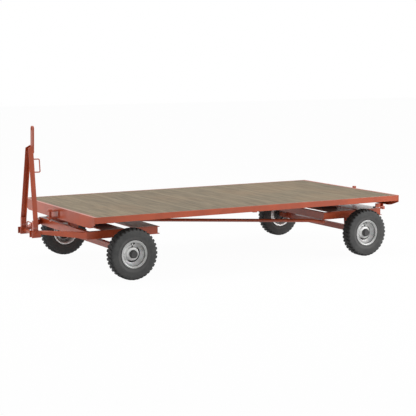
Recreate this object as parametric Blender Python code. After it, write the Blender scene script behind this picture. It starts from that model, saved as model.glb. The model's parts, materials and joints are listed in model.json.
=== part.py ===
# Four-wheel platform trailer with a timber deck, two linked turntable bogies and an
# upright A-frame drawbar. Metres, +Z up, +X towards the drawbar, +Y to the left.
# Every length below is measured in bed coordinates, from the middle of the deck on the floor.
import math

import bmesh
import bpy
from mathutils import Vector

# Clearances
gap = 0.0003
running_gap = 0.0005
bearing_gap = 0.002
cut_margin = 0.02

# Facets of pins, bores and rounded ends
pin_facets = 20
rod_facets = 16
arc_steps = 12

# Bed
bed_length = 3.0
bed_width = 1.5
bed_top = 0.528
rail_depth = 0.050
rail_wall = 0.006
ledge_width = 0.040
board_thickness = 0.028
board_drop = 0.0015
board_pitch = 0.270
board_seam = 0.003
board_chamfer = 0.002
first_board = 0.095
end_lip = 0.027
end_depth = 0.096
end_chamfer_run = 0.100
end_chamfer_rise = 0.034
main_beam_spacing = 0.600
main_beam_width = 0.050
bearer_width = 0.036
bearer_height = 0.012
bearer_wall = 0.005
bolster_width = 0.360
bolster_half_length = 0.460
bolster_chamfer = 0.050

# Axles and bogies
axle_x = 1.152
frame_half_width = 0.514
frame_ahead = 0.308
frame_behind = 0.327
frame_bottom = 0.320
frame_depth = 0.062
frame_flange = 0.035
frame_wall = 0.005
rear_flange_reach = 0.019
plate_thickness = 0.006
plate_sink = 0.004
centre_plates = {"front": (-0.020, 0.160), "rear": (-0.020, 0.225)}
rear_plate_widths = {"front": 0.209, "rear": 0.270}

# Slewing rings
ring_outer = 0.175
ring_inner = 0.130
ring_wall_outer = 0.150
ring_flange = 0.008
ring_facets = 24

# Wheels
wheel_half_track = 0.700
tyre_radius = 0.2090
tyre_width = 0.107
tread_width = 0.074
groove_depth = 0.009
lug_count = 36
lug_shares = (-0.25, 0.25, 0.36, 0.64)
side_lug_share = 0.6
tyre_bulge_share = 0.73
tyre_shoulder_shares = (0.93, 0.925)
rim_radius = 0.1000
rim_wall = 0.004
rim_width = 0.070
rim_flange_radius = 0.1115
rim_facets = 24
rim_flange_lean = 0.005
disc_corner = (0.016, 0.080)
disc_trough = (-0.006, 0.066)
disc_boss = (0.010, 0.052)
hub_hole_radius = 0.0295
hub_flange_radius = 0.048
hub_flange_width = 0.012
hub_boss_radius = 0.032
hub_boss_back = 0.015
hub_cap_reach = 0.041
hub_cap_bevel = 0.006
hub_facets = 18
spindle_radius = 0.0155
spindle_bore = 0.0165
spindle_reach = 0.012
axle_size = 0.045
axle_rise = 0.010
axle_end = 0.060
stand_y = 0.478
stand_top_length = 0.080
stand_foot_length = 0.064
stand_width = 0.064
stand_plate = 0.006

# Drawbar and its hinge
hinge_ahead = 0.596
hinge_z = 0.340
foot_y = 0.131
cheek_span = 0.062
cheek_wall = 0.008
cheek_ahead = 0.038
cheek_behind = 0.039
cheek_bottom = 0.310
cheek_top = 0.363
cheek_base_ahead = 0.004
cheek_base_wall = 0.006
arm_width = 0.045
arm_root_heights = (0.326, 0.378)
arm_tip_heights = (0.336, 0.361)
hinge_pin_radius = 0.010
pin_end = 0.012
hinge_tube_radius = 0.0145
drawbar_lean = math.radians(1.1)
leg_start = 0.085
leg_length = 0.712
leg_top_y = 0.0185
leg_top_slant = 0.022
leg_width = 0.031
leg_depth = 0.040
leg_wall = 0.005
shoe_length = 0.105
shoe_width = 0.028
shoe_depth = 0.042
shoe_end_radius = 0.014
eye_length = 0.870
eye_lap = 0.065
eye_width = 0.048
eye_thickness = 0.014
eye_hole_radius = 0.0165
handle_drop = 0.112
handle_span = 0.105
handle_reach = 0.052
handle_rod_radius = 0.005
latch_half_width = 0.048
latch_height = 0.080
latch_rod_radius = 0.0045
bend_radius = 0.012

# Steering rod and its pivots
rod_pivot_ahead = 0.300
rod_pivot_y = 0.490
rod_z = 0.299
rod_rear_z = 0.309
rod_front_z = 0.3165
rod_rear_bend = (0.040, 0.100)
rod_front_bend = (0.080, 0.160)
rod_radius = 0.0145
rod_eye_radius = 0.022
rod_eye_thickness = 0.014
rod_eye_hole = 0.0085
pivot_stud_radius = 0.008

# Couplings at both ends
jaw_plate = 0.008
jaw_plate_half_width = 0.045
jaw_half_width = 0.032
jaw_bottom = 0.438
jaw_top = 0.507
jaw_lug = 0.010
jaw_reach = 0.082
jaw_pin_setback = 0.028
jaw_pin_radius = 0.011
jaw_pin_bottom = 0.422
jaw_pin_tops = {"front": 0.515, "rear": 0.535}
jaw_pin_head_radius = 0.018

# Bogie lock on the rear frame
lock_overhang = 0.054
lock_length = 0.091
lock_y = 0.470
lock_width = 0.040
lock_height = 0.038
lock_wall = 0.008
lock_ear_length = 0.055
lock_drop = 0.020
lock_block_length = 0.016
lock_block_height = 0.027

# Heights and places that follow from the sizes above
rail_bottom = bed_top - rail_depth
ledge_top = bed_top - board_drop - board_thickness - gap
bearer_top = rail_bottom - gap
bearer_bottom = bed_top - end_depth
frame_top = frame_bottom + frame_depth
plate_top = frame_top + plate_thickness
axle_z = tyre_radius * math.cos(math.pi / lug_count / 2)
hinge_x = axle_x + hinge_ahead
front_reach = hinge_x + cheek_ahead
rear_reach = bed_length / 2 + gap + jaw_plate + jaw_reach
bed_shift = (rear_reach - front_reach) / 2

# Colour, roughness and metallic value of each finish
finishes = {
    "paint": ((0.47, 0.085, 0.042, 1), 0.45, 0.0),
    "timber": ((0.31, 0.25, 0.18, 1), 0.80, 0.0),
    "rubber": ((0.035, 0.035, 0.035, 1), 0.85, 0.0),
    "zinc": ((0.62, 0.62, 0.60, 1), 0.38, 0.8),
    "dark_steel": ((0.09, 0.09, 0.09, 1), 0.50, 0.6),
}

smooth_angle = math.radians(35)

for old in list(bpy.data.objects):
    bpy.data.objects.remove(old)


# Helpers that place empties, objects and materials
def add_empty(name, place=(0, 0, 0), parent=None, turn=(0, 0, 0)):
    empty = bpy.data.objects.new(name, None)
    bpy.context.scene.collection.objects.link(empty)
    empty.location = place
    empty.rotation_euler = turn
    empty.parent = parent
    return empty


def finish_object(obj, finish, parent, place=(0, 0, 0)):
    colour, roughness, metallic = finishes[finish]
    material = bpy.data.materials.new(obj.name + "_" + finish)
    material.use_nodes = True
    shader = material.node_tree.nodes["Principled BSDF"]
    shader.inputs["Base Color"].default_value = colour
    shader.inputs["Roughness"].default_value = roughness
    shader.inputs["Metallic"].default_value = metallic
    obj.data.materials.append(material)
    obj.parent = parent
    obj.location = place
    return obj


def add_mesh(name, mesh, finish, parent, place=(0, 0, 0)):
    obj = bpy.data.objects.new(name, mesh)
    bpy.context.scene.collection.objects.link(obj)
    mesh.shade_smooth()
    mesh.set_sharp_from_angle(angle=smooth_angle)
    return finish_object(obj, finish, parent, place)


def add_rod(name, points, radius, finish, parent):
    curve = bpy.data.curves.new(name, "CURVE")
    curve.dimensions = "3D"
    curve.bevel_depth = radius
    curve.bevel_resolution = 1
    curve.use_fill_caps = True
    spline = curve.splines.new("POLY")
    spline.points.add(len(points) - 1)
    for point, place in zip(spline.points, points):
        point.co = (*place, 1)
    obj = bpy.data.objects.new(name, curve)
    bpy.context.scene.collection.objects.link(obj)
    return finish_object(obj, finish, parent)


# Helpers that make closed meshes
def mesh_from(bm):
    bmesh.ops.recalc_face_normals(bm, faces=bm.faces)
    mesh = bpy.data.meshes.new("shape")
    bm.to_mesh(mesh)
    bm.free()
    return mesh


def prism(outline, start, end, along):
    # The outline lies across the named axis: (y, z) for x, (x, z) for y, (x, y) for z
    spots = {
        "x": lambda a, b, d: (d, a, b),
        "y": lambda a, b, d: (a, d, b),
        "z": lambda a, b, d: (a, b, d),
    }
    bm = bmesh.new()
    rings = [
        [bm.verts.new(spots[along](a, b, depth)) for a, b in outline]
        for depth in (start, end)
    ]
    bm.faces.new(rings[0])
    bm.faces.new(rings[1])
    for i in range(len(outline)):
        j = (i + 1) % len(outline)
        bm.faces.new((rings[0][i], rings[0][j], rings[1][j], rings[1][i]))
    return mesh_from(bm)


def swept(outline, stations):
    # The outline's (y, z) points at each (x, height) station, joined and closed
    bm = bmesh.new()
    rings = [[bm.verts.new((x, y, height + z)) for y, z in outline] for x, height in stations]
    bm.faces.new(rings[0])
    bm.faces.new(rings[-1])
    for first, second in zip(rings, rings[1:]):
        for i in range(len(outline)):
            j = (i + 1) % len(outline)
            bm.faces.new((first[i], first[j], second[j], second[i]))
    return mesh_from(bm)


def box(low, high):
    outline = [(low[0], low[1]), (high[0], low[1]), (high[0], high[1]), (low[0], high[1])]
    return prism(outline, low[2], high[2], "z")


def circle_outline(radius, facets, centre=(0, 0)):
    angles = [2 * math.pi * (i + 0.5) / facets for i in range(facets)]
    return [
        (centre[0] + radius * math.cos(a), centre[1] + radius * math.sin(a)) for a in angles
    ]


def turned(profile, facets, axis, closed_ring=True):
    # The profile holds (along the axis, radius) points, turned round y or z
    bm = bmesh.new()
    rings = []
    for along, radius in profile:
        ring = []
        for i in range(facets):
            angle = 2 * math.pi * i / facets
            u, v = radius * math.cos(angle), radius * math.sin(angle)
            ring.append(bm.verts.new((u, along, v) if axis == "y" else (u, v, along)))
        rings.append(ring)
    pairs = list(zip(rings, rings[1:]))
    if closed_ring:
        pairs.append((rings[-1], rings[0]))
    else:
        bm.faces.new(rings[0])
        bm.faces.new(rings[-1])
    for first, second in pairs:
        for i in range(facets):
            j = (i + 1) % facets
            bm.faces.new((first[i], first[j], second[j], second[i]))
    return mesh_from(bm)


def combine(solids, cutters=()):
    # One mesh: the union of the solids, less the cutters
    steps = [("UNION", m) for m in solids[1:]] + [("DIFFERENCE", m) for m in cutters]
    base = bpy.data.objects.new("base", solids[0])
    bpy.context.scene.collection.objects.link(base)
    tools = []
    for operation, mesh in steps:
        tool = bpy.data.objects.new("tool", mesh)
        bpy.context.scene.collection.objects.link(tool)
        tools.append(tool)
        modifier = base.modifiers.new(operation, "BOOLEAN")
        modifier.operation = operation
        modifier.solver = "EXACT"
        modifier.object = tool
    graph = bpy.context.evaluated_depsgraph_get()
    result = bpy.data.meshes.new_from_object(base.evaluated_get(graph))
    for temporary in tools + [base]:
        bpy.data.objects.remove(temporary)
    return result


def mirrored(mesh, side):
    # The same shape on the left (side 1) or the right (side -1)
    if side < 0:
        bm = bmesh.new()
        bm.from_mesh(mesh)
        for vert in bm.verts:
            vert.co.y = -vert.co.y
        bmesh.ops.reverse_faces(bm, faces=bm.faces)
        bm.to_mesh(mesh)
        bm.free()
    return mesh


def channel_outline(back, mouth, low, high, wall):
    # A channel section: its web stands at back, its flanges reach to mouth
    inner = back + math.copysign(wall, mouth - back)
    return [
        (back, low), (mouth, low), (mouth, low + wall), (inner, low + wall),
        (inner, high - wall), (mouth, high - wall), (mouth, high), (back, high),
    ]


def bent_path(corners, radius, steps=4):
    # A polyline whose inner corners are arcs
    points = [Vector(corners[0])]
    for before, corner, after in zip(corners, corners[1:], corners[2:]):
        corner = Vector(corner)
        back = (Vector(before) - corner).normalized()
        ahead = (Vector(after) - corner).normalized()
        reach = radius / math.tan(back.angle(ahead) / 2)
        start, end = corner + back * reach, corner + ahead * reach
        for i in range(steps + 1):
            t = i / steps
            points.append(start.lerp(corner, t).lerp(corner.lerp(end, t), t))
    points.append(Vector(corners[-1]))
    return points


# The deck and the steel frame of the bed
def make_rails(parent):
    outer = bed_width / 2
    inner = outer - rail_wall
    ledge_end = inner - ledge_width
    ledge_low = ledge_top - rail_wall
    outline = [
        (outer, rail_bottom), (outer, bed_top), (inner, bed_top), (inner, ledge_top),
        (ledge_end, ledge_top), (ledge_end, ledge_low), (inner, ledge_low),
        (inner, rail_bottom + rail_wall), (ledge_end, rail_bottom + rail_wall),
        (ledge_end, rail_bottom),
    ]
    half = bed_length / 2 - rail_wall - gap
    for name, side in (("side_rail_left", 1), ("side_rail_right", -1)):
        mesh = mirrored(prism(outline, -half, half, "x"), side)
        add_mesh(name, mesh, "paint", parent)


def chamfered_cross_section(top):
    # Seen along x: full width at the top, its lower corners cut back
    half = bed_width / 2
    flat = half - end_chamfer_run
    corner = bearer_bottom + end_chamfer_rise
    return [(half, top), (half, corner), (flat, bearer_bottom),
            (-flat, bearer_bottom), (-half, corner), (-half, top)]


def make_end_members(parent):
    half = bed_length / 2
    flat = bed_width / 2 - end_chamfer_run
    for name, side in (("end_member_front", 1), ("end_member_rear", -1)):
        web = prism(chamfered_cross_section(bed_top), side * half, side * (half - rail_wall), "x")
        start, end = sorted((side * (half - rail_wall / 2), side * (half - ledge_width)))
        foot = box((start, -flat, bearer_bottom), (end, flat, bearer_bottom + rail_wall))
        start, end = sorted((side * (half - rail_wall / 2), side * (half - end_lip)))
        across = bed_width / 2 - rail_wall - gap
        lip = box((start, -across, bed_top - rail_wall), (end, across, bed_top))
        add_mesh(name, combine([web, foot, lip]), "paint", parent)


def make_beams(parent):
    half = bed_length / 2 - rail_wall - gap
    web = main_beam_spacing / 2 + main_beam_width / 2
    mouth = main_beam_spacing / 2 - main_beam_width / 2
    outline = channel_outline(web, mouth, rail_bottom, ledge_top, bearer_wall)
    for name, side in (("main_beam_left", 1), ("main_beam_right", -1)):
        mesh = mirrored(prism(outline, -half, half, "x"), side)
        add_mesh(name, mesh, "paint", parent)


def make_bearers(parent):
    # A flat bearer between the rails, and a tray that opens upwards over each turntable
    across = bed_width / 2 - ledge_width
    mesh = box((-bearer_width / 2, -across, bearer_top - bearer_height),
               (bearer_width / 2, across, bearer_top))
    add_mesh("bearer_middle", mesh, "paint", parent)
    half = bolster_half_length
    flat = half - bolster_chamfer
    corner = bearer_bottom + end_chamfer_rise
    section = [(half, bearer_top), (half, corner), (flat, bearer_bottom),
               (-flat, bearer_bottom), (-half, corner), (-half, bearer_top)]
    inside = bolster_width / 2 - bearer_wall
    for name, x in (("bolster_front", axle_x), ("bolster_rear", -axle_x)):
        solid = prism(section, x - bolster_width / 2, x + bolster_width / 2, "x")
        hollow = box((x - inside, -bed_width, bearer_bottom + bearer_wall),
                     (x + inside, bed_width, bearer_top + cut_margin))
        add_mesh(name, combine([solid], [hollow]), "paint", parent)


def make_boards(parent):
    start = bed_length / 2 - end_lip + board_seam / 2 - gap
    end = -start
    edges = [start]
    cut = bed_length / 2 - rail_wall - first_board
    while cut > end + board_seam:
        edges.append(cut)
        cut -= board_pitch
    edges.append(end)
    low = ledge_top + gap
    top = low + board_thickness
    half = bed_width / 2 - rail_wall - board_seam / 2
    for number, (front, back) in enumerate(zip(edges, edges[1:]), start=1):
        a = back + board_seam / 2
        b = front - board_seam / 2
        outline = [(a, low), (b, low), (b, top - board_chamfer), (b - board_chamfer, top),
                   (a + board_chamfer, top), (a, top - board_chamfer)]
        add_mesh(f"deck_board_{number:02d}", prism(outline, -half, half, "y"), "timber", parent)


def make_jaws(parent):
    # A back plate with two lugs, and a loose pin through both
    for end, side in (("front", 1), ("rear", -1)):
        face = bed_length / 2 + gap
        tip = face + jaw_plate + jaw_reach
        plate = box((face, -jaw_plate_half_width, jaw_bottom),
                    (face + jaw_plate, jaw_plate_half_width, jaw_top))
        pin_x = tip - jaw_pin_setback
        nose = circle_outline(jaw_pin_setback, pin_facets, (pin_x, 0))
        nose = [(x, max(-jaw_half_width, min(jaw_half_width, y))) for x, y in nose if x > pin_x]
        nose.sort(key=lambda point: point[1])
        lug = [(face + jaw_plate / 2, -jaw_half_width), (pin_x, -jaw_half_width)] + nose
        lug += [(pin_x, jaw_half_width), (face + jaw_plate / 2, jaw_half_width)]
        lugs = [prism(lug, low, low + jaw_lug, "z") for low in (jaw_bottom, jaw_top - jaw_lug)]
        bore = prism(circle_outline(jaw_pin_radius + running_gap, pin_facets, (pin_x, 0)),
                     jaw_bottom - cut_margin, jaw_top + cut_margin, "z")
        mesh = combine([plate] + lugs, [bore])
        turn_end(mesh, side)
        add_mesh("jaw_" + end, mesh, "paint", parent)
        pin_top = jaw_pin_tops[end]
        head_low = jaw_top + running_gap
        profile = [(jaw_pin_bottom, jaw_pin_radius), (head_low, jaw_pin_radius),
                   (head_low, jaw_pin_head_radius), (pin_top, jaw_pin_head_radius)]
        pin = turned(profile, pin_facets, "z", closed_ring=False)
        add_mesh("jaw_pin_" + end, pin, "paint", parent, (side * pin_x, 0, 0))


def turn_end(mesh, side):
    # Turns a shape made for the front end round to the rear end
    if side < 0:
        for vert in mesh.vertices:
            vert.co.x, vert.co.y = -vert.co.x, -vert.co.y


# Turntables, bogie frames and axles
def make_rings(end, bed, bogie, x):
    base = plate_top + gap
    top = bearer_bottom - gap
    floor = base + ring_flange
    ceiling = top - ring_flange
    wall_top = ceiling - bearing_gap
    lower = [(base, ring_inner), (wall_top, ring_inner), (wall_top, ring_wall_outer),
             (floor, ring_wall_outer), (floor, ring_outer), (base, ring_outer)]
    wall = ring_wall_outer + bearing_gap
    upper = [(top, ring_inner), (ceiling, ring_inner), (ceiling, wall),
             (floor + running_gap, wall), (floor + running_gap, ring_outer), (top, ring_outer)]
    add_mesh("ring_lower_" + end, turned(lower, ring_facets, "z"), "dark_steel", bogie)
    add_mesh("ring_upper_" + end, turned(upper, ring_facets, "z"), "dark_steel", bed, (x, 0, 0))


def make_bogie_frame(end, bogie, rod_side, stud_bottom):
    out = frame_half_width
    side_outline = channel_outline(out, out - frame_flange, frame_bottom, frame_top, frame_wall)
    sides = [mirrored(prism(side_outline, -frame_behind, frame_ahead, "x"), side)
             for side in (1, -1)]
    reach = out - frame_wall / 2
    front_outline = channel_outline(frame_ahead, frame_ahead - frame_flange,
                                    frame_bottom, frame_top, frame_wall)
    web = frame_flange - rear_flange_reach - frame_behind
    rear_outline = channel_outline(web, -frame_behind - rear_flange_reach,
                                   frame_bottom, frame_top, frame_wall)
    crosses = [prism(outline, -reach, reach, "y") for outline in (front_outline, rear_outline)]
    low = frame_top - plate_sink
    plates = [box((back, -reach, low), (front, reach, plate_top))
              for back, front in (centre_plates[end],
                                  (-frame_behind, rear_plate_widths[end] - frame_behind))]
    stud = prism(circle_outline(pivot_stud_radius, rod_facets,
                                (rod_side * rod_pivot_ahead, rod_side * rod_pivot_y)),
                 stud_bottom, frame_bottom + frame_wall / 2, "z")
    mesh = combine(sides + crosses + plates + [stud])
    add_mesh("bogie_frame_" + end, mesh, "paint", bogie)


def make_axle(end, bogie):
    half = axle_size / 2
    inner_end = wheel_half_track - axle_end
    middle = axle_z + axle_rise
    beam = box((-half, -inner_end, middle - half), (half, inner_end, middle + half))
    spindle = prism(circle_outline(spindle_radius, pin_facets, (0, axle_z)),
                    -wheel_half_track - spindle_reach, wheel_half_track + spindle_reach, "y")
    top = frame_bottom - gap
    under = top - stand_plate
    wide, narrow = stand_top_length / 2, stand_foot_length / 2
    foot = middle - half / 2
    gusset = [(-wide, under + stand_plate / 2), (wide, under + stand_plate / 2),
              (narrow, foot), (-narrow, foot)]
    pieces = [beam, spindle]
    for side in (1, -1):
        low = stand_y - stand_width / 2
        high = stand_y + stand_width / 2
        pieces.append(mirrored(box((-wide, low, under), (wide, high, top)), side))
        for y in (low, high - stand_plate):
            inset = y + (stand_plate / 2 if y == low else -stand_plate / 2)
            pieces.append(mirrored(prism(gusset, inset, inset + stand_plate, "y"), side))
    add_mesh("axle_" + end, combine(pieces), "paint", bogie)


# Wheels
def make_tyre_mesh():
    # Smooth sidewalls, and a tread of cross lugs: four angles to each lug
    half = tyre_width / 2
    bead = (rim_width / 2 - gap, (rim_radius + gap) / math.cos(math.pi / lug_count))
    bulge = (half, tyre_bulge_share * tyre_radius)
    shoulder = (half * tyre_shoulder_shares[0], tyre_radius * tyre_shoulder_shares[1])
    edge = (tread_width / 2, tyre_radius)
    step = 2 * math.pi / lug_count
    bm = bmesh.new()

    def ring(along, radius, angles, depths):
        return [bm.verts.new(((radius - depth) * math.cos(angle), along,
                              (radius - depth) * math.sin(angle)))
                for angle, depth in zip(angles, depths)]

    start = -math.pi / 2
    coarse = [start + step * (i + lug_shares[0]) for i in range(lug_count)]
    fine = [start + step * (i + share) for i in range(lug_count) for share in lug_shares]
    smooth = [0] * lug_count
    lugs = [0, 0, groove_depth, groove_depth] * lug_count
    side_lugs = [depth * side_lug_share for depth in lugs]
    rings = []
    for side in (-1, 1):
        rings.append([
            ring(side * bead[0], bead[1], coarse, smooth),
            ring(side * bulge[0], bulge[1], coarse, smooth),
            ring(side * shoulder[0], shoulder[1], fine, side_lugs),
            ring(side * edge[0], edge[1], fine, lugs),
        ])
    left, right = rings

    def band(first, second):
        for i in range(len(first)):
            j = (i + 1) % len(first)
            bm.faces.new((first[i], first[j], second[j], second[i]))

    def fan(few, many):
        for i in range(lug_count):
            j = (i + 1) % lug_count
            k = len(lug_shares) * i
            spots = [many[(k + n) % len(many)] for n in range(len(lug_shares) + 1)]
            bm.faces.new((few[i], spots[0], spots[1]))
            bm.faces.new((few[i], spots[1], spots[2]))
            bm.faces.new((few[i], spots[2], few[j]))
            bm.faces.new((few[j], spots[2], spots[3]))
            bm.faces.new((few[j], spots[3], spots[4]))

    band(left[0], right[0])
    band(left[3], right[3])
    for bead_ring, bulge_ring, shoulder_ring, edge_ring in rings:
        band(bead_ring, bulge_ring)
        fan(bulge_ring, shoulder_ring)
        band(shoulder_ring, edge_ring)
    return mesh_from(bm)


def make_rim_mesh():
    # A dished disc inside a barrel with two flanges, seen from its outer side at +y
    half = rim_width / 2
    inner = rim_radius - rim_wall
    lean = rim_flange_lean
    wall = rim_wall
    trough, trough_radius = disc_trough
    boss, boss_radius = disc_boss
    outer_side = [
        (half, rim_radius), (half + lean, rim_flange_radius), (half + wall, inner),
        (disc_corner[0], inner), (trough, disc_corner[1]), (trough, trough_radius),
        (boss, boss_radius), (boss, hub_hole_radius),
    ]
    inner_side = [
        (boss - wall, hub_hole_radius), (boss - wall, boss_radius),
        (trough - wall, trough_radius + wall / 4), (trough - wall, disc_corner[1] + wall / 4),
        (disc_corner[0] - wall, inner), (-half - wall, inner),
        (-half - lean, rim_flange_radius), (-half, rim_radius),
    ]
    return turned(outer_side + inner_side, rim_facets, "y")


def make_hub_mesh():
    disc_back = disc_boss[0] - rim_wall
    boss = hub_hole_radius - running_gap
    back = hub_boss_back - axle_end
    profile = [
        (back, hub_boss_radius), (disc_back - hub_flange_width, hub_boss_radius),
        (disc_back - hub_flange_width, hub_flange_radius), (disc_back - gap, hub_flange_radius),
        (disc_back - gap, boss), (hub_cap_reach - hub_cap_bevel, boss),
        (hub_cap_reach, boss - hub_cap_bevel),
    ]
    solid = turned(profile, hub_facets, "y", closed_ring=False)
    bore = turned([(back - cut_margin, spindle_bore), (spindle_reach + gap, spindle_bore)],
                  hub_facets, "y", closed_ring=False)
    return combine([solid], [bore])


def make_wheels(end, bogie):
    for side_name, side in (("left", 1), ("right", -1)):
        place = (0, side * wheel_half_track, axle_z)
        suffix = f"{end}_{side_name}"
        add_mesh("tyre_" + suffix, make_tyre_mesh(), "rubber", bogie, place)
        add_mesh("rim_" + suffix, mirrored(make_rim_mesh(), side), "zinc", bogie, place)
        add_mesh("hub_" + suffix, mirrored(make_hub_mesh(), side), "dark_steel", bogie, place)


# Draw arms on the front bogie, and the drawbar that hinges on them
def make_draw_arms(bogie):
    # Each arm runs from a front corner of the frame to its hinge bracket and tapers on the way
    front = hinge_ahead + cheek_ahead
    back = hinge_ahead - cheek_behind
    root_x = frame_ahead + gap
    tip_x = back + cheek_wall / 2
    inner, outer = foot_y - cheek_span / 2, foot_y + cheek_span / 2
    for name, side in (("draw_arm_left", 1), ("draw_arm_right", -1)):
        arm = prism([(root_x, frame_half_width - arm_width), (root_x, frame_half_width),
                     (tip_x, outer), (tip_x, inner)], 0, 1, "z")
        for vert in arm.vertices:
            root, tip = [heights[round(vert.co.z)]
                         for heights in (arm_root_heights, arm_tip_heights)]
            vert.co.z = root if vert.co.x < tip_x - gap else tip
        base = box((back, inner, cheek_bottom),
                   (hinge_ahead + cheek_base_ahead, outer, cheek_bottom + cheek_base_wall))
        end_wall = box((back, inner, cheek_bottom), (back + cheek_wall, outer, cheek_top))
        cheeks = [box((back, a, cheek_bottom), (front, a + cheek_wall, cheek_top))
                  for a in (inner, outer - cheek_wall)]
        bore = prism(circle_outline(hinge_pin_radius + running_gap, pin_facets,
                                    (hinge_ahead, hinge_z)),
                     inner - cut_margin, outer + cut_margin, "y")
        mesh = mirrored(combine([arm, base, end_wall] + cheeks, [bore]), side)
        add_mesh(name, mesh, "paint", bogie)


def make_drawbar(bogie):
    hinge = add_empty("drawbar_hinge", (hinge_ahead, 0, hinge_z), bogie, (0, -drawbar_lean, 0))
    half_depth, half_width = leg_depth / 2, leg_width / 2
    section = [(-half_depth, half_width), (half_depth, half_width),
               (half_depth, half_width - leg_wall), (leg_wall - half_depth, half_width - leg_wall),
               (leg_wall - half_depth, -half_width), (-half_depth, -half_width)]
    lean_in = (leg_top_y - foot_y) / (leg_length - leg_start)
    for name, side in (("drawbar_leg_left", 1), ("drawbar_leg_right", -1)):
        leg = prism(section, leg_start, leg_length, "z")
        for vert in leg.vertices:
            vert.co.y += foot_y + lean_in * (vert.co.z - leg_start)
            if vert.co.z > leg_start + gap:
                vert.co.z -= leg_top_slant * (vert.co.x + half_depth) / leg_depth
        shoe = shoe_mesh()
        bore = prism(circle_outline(hinge_pin_radius + running_gap, pin_facets),
                     foot_y - cheek_span, foot_y + cheek_span, "y")
        mesh = mirrored(combine([leg, shoe], [bore]), side)
        add_mesh(name, mesh, "paint", hinge)

    make_eye(hinge)
    rear = -half_depth - gap
    handle_top = leg_length - handle_drop
    handle_bottom = handle_top - handle_span
    handle_y = foot_y + lean_in * ((handle_top + handle_bottom) / 2 - leg_start)
    corners = [(rear, handle_y, handle_top), (rear - handle_reach, handle_y, handle_top),
               (rear - handle_reach, handle_y, handle_bottom), (rear, handle_y, handle_bottom)]
    add_rod("drawbar_handle", bent_path(corners, bend_radius), handle_rod_radius, "paint", hinge)

    inner = foot_y - cheek_span / 2 - running_gap
    outer = foot_y + cheek_span / 2 + pin_end
    profile = [(-outer, hinge_pin_radius), (-inner, hinge_pin_radius),
               (-inner, hinge_tube_radius), (inner, hinge_tube_radius),
               (inner, hinge_pin_radius), (outer, hinge_pin_radius)]
    tube = turned(profile, pin_facets, "y", closed_ring=False)
    add_mesh("drawbar_hinge_tube", tube, "paint", hinge)

    base = hinge_tube_radius + gap
    corners = [(0, -latch_half_width, base), (0, -latch_half_width, latch_height),
               (0, latch_half_width, latch_height), (0, latch_half_width, base)]
    add_rod("drawbar_latch", bent_path(corners, bend_radius), latch_rod_radius, "paint", hinge)


def shoe_mesh():
    # The thick foot of a leg, rounded about the hinge axis
    half = shoe_depth / 2
    arc = [(shoe_end_radius * math.cos(a), shoe_end_radius * math.sin(a))
           for a in [math.pi + math.pi * i / arc_steps for i in range(arc_steps + 1)]]
    outline = arc + [(half, shoe_end_radius), (half, shoe_length),
                     (-half, shoe_length), (-half, shoe_end_radius)]
    return prism(outline, foot_y - shoe_width / 2, foot_y + shoe_width / 2, "y")


def make_eye(hinge):
    front = -leg_depth / 2 - gap
    half = eye_width / 2
    centre = eye_length - half
    arc = [(half * math.cos(a), centre + half * math.sin(a))
           for a in [math.pi * i / arc_steps for i in range(arc_steps + 1)]]
    low = leg_length - eye_lap
    outline = [(-half, low), (half, low)] + arc
    plate = prism(outline, front - eye_thickness, front, "x")
    hole = prism(circle_outline(eye_hole_radius, pin_facets, (0, centre)),
                 front - eye_thickness - cut_margin, front + cut_margin, "x")
    add_mesh("drawbar_eye", combine([plate], [hole]), "paint", hinge)


# The diagonal rod that turns the rear bogie against the front one
def make_steering_rod(rear_bogie):
    run_x = 2 * axle_x - 2 * rod_pivot_ahead
    run_y = -2 * rod_pivot_y
    length = math.hypot(run_x, run_y)
    pivot = add_empty("rod_pivot", (rod_pivot_ahead, rod_pivot_y, 0), rear_bogie,
                      (0, 0, math.atan2(run_y, run_x)))
    half = rod_eye_thickness / 2
    # The tube runs straight between a bend near each eye, and the eyes lie lower
    stations = [(rod_eye_radius / 2, rod_z), (rod_rear_bend[0], rod_z),
                (rod_rear_bend[1], rod_rear_z), (length - rod_front_bend[1], rod_front_z),
                (length - rod_front_bend[0], rod_z), (length - rod_eye_radius / 2, rod_z)]
    tube = swept(circle_outline(rod_radius, rod_facets), stations)
    eyes = [prism(circle_outline(rod_eye_radius, pin_facets, (x, 0)),
                  rod_z - half, rod_z + half, "z") for x in (0, length)]
    cutters = [prism(circle_outline(rod_eye_hole, rod_facets, (x, 0)),
                     rod_z - cut_margin, rod_z + cut_margin, "z") for x in (0, length)]
    add_mesh("steering_rod", combine([eyes[0], tube, eyes[1]], cutters), "paint", pivot)


def make_lock_bracket(rear_bogie):
    # A base on the rear plate with an ear, and a stop that hangs over the frame's end
    low = plate_top + gap
    high = low + lock_height
    back = -frame_behind - lock_overhang
    near, far = lock_y + lock_width / 2, lock_y - lock_width / 2
    base = box((back, far, low), (back + lock_length, near, low + lock_wall))
    ear = box((back + lock_length - lock_ear_length, near - lock_wall, low),
              (back + lock_length, near, high))
    stop = box((back, far, low - lock_drop), (back + lock_wall, near, high))
    block = box((back - lock_block_length, far, low - lock_drop),
                (back + lock_wall / 2, near, low - lock_drop + lock_block_height))
    add_mesh("lock_bracket", combine([base, ear, stop, block]), "paint", rear_bogie)


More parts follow.
